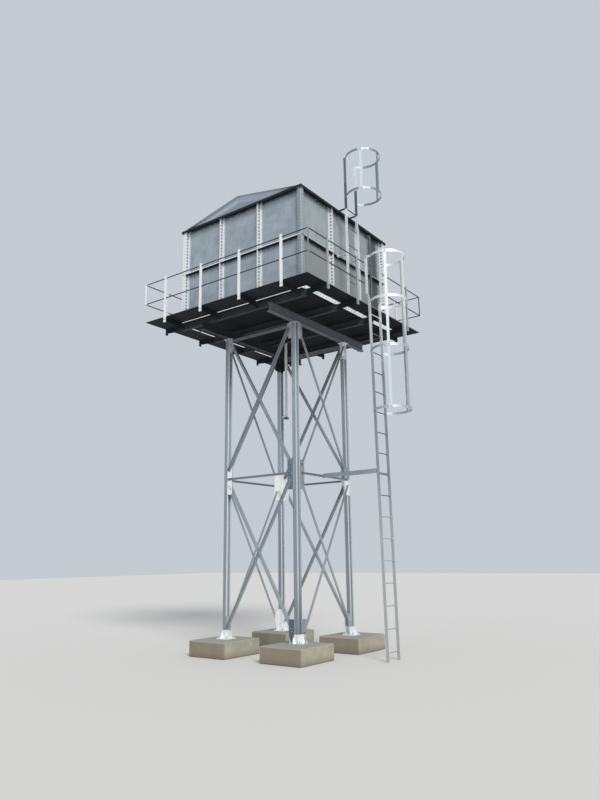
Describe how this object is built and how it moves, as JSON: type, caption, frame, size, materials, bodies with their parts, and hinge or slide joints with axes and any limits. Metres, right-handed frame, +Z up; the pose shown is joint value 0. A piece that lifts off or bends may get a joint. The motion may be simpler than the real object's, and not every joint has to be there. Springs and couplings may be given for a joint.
{
  "type": "water tower",
  "caption": "Square bolted sheet metal water tank on a braced steel frame, with railed walkway, concrete plinths and caged ladders.",
  "frame": {"origin": "on the ground, under the middle of the tower's bounding box, its ladder cage included", "axes": "+Z up, +X towards the ladders, -Y towards the gable end seen in the picture"},
  "size_m": [4.9064, 4.2206, 9.7535],
  "materials": {
    "zinc": "weathered galvanised steel",
    "sheet_metal": "dull galvanised sheet",
    "primer": "matt dark paint",
    "plate_steel": "dark oxidised plate",
    "concrete": "rough cast concrete"
  },
  "bodies": {
    "root": {"leg_front_left": "zinc", "leg_front_right": "zinc", "leg_back_right": "zinc", "leg_back_left": "zinc", "lower_bracing_front": "zinc", "lower_bracing_right": "zinc", "lower_bracing_back": "zinc", "lower_bracing_left": "zinc", "upper_bracing_front": "zinc", "upper_bracing_right": "zinc", "upper_bracing_back": "zinc", "upper_bracing_left": "zinc", "mid_strut_front": "zinc", "mid_strut_right": "zinc", "mid_strut_back": "zinc", "mid_strut_left": "zinc", "top_strut_front": "zinc", "top_strut_back": "zinc", "tank_floor": "zinc", "tank_wall_front": "zinc", "tank_wall_right": "zinc", "tank_wall_back": "zinc", "tank_wall_left": "zinc", "handrail_front": "zinc", "handrail_back": "zinc", "handrail_left": "zinc", "handrail_right_front": "zinc", "handrail_right_back": "zinc", "ground_ladder": "zinc", "ground_ladder_cage": "zinc", "ladder_arm": "zinc", "tank_ladder": "zinc", "tank_ladder_cage": "zinc", "outlet_pipe": "zinc", "overflow_pipe": "zinc", "roof": "sheet_metal", "gable_front": "sheet_metal", "gable_back": "sheet_metal", "girder_left": "primer", "girder_right": "primer", "cross_beam_1": "primer", "cross_beam_2": "primer", "cross_beam_3": "primer", "cross_beam_4": "primer", "walkway_front": "plate_steel", "walkway_right": "plate_steel", "walkway_back": "plate_steel", "walkway_left": "plate_steel", "plinth_front_left": "concrete", "plinth_front_right": "concrete", "plinth_back_right": "concrete", "plinth_back_left": "concrete"}
  },
  "joints": []
}
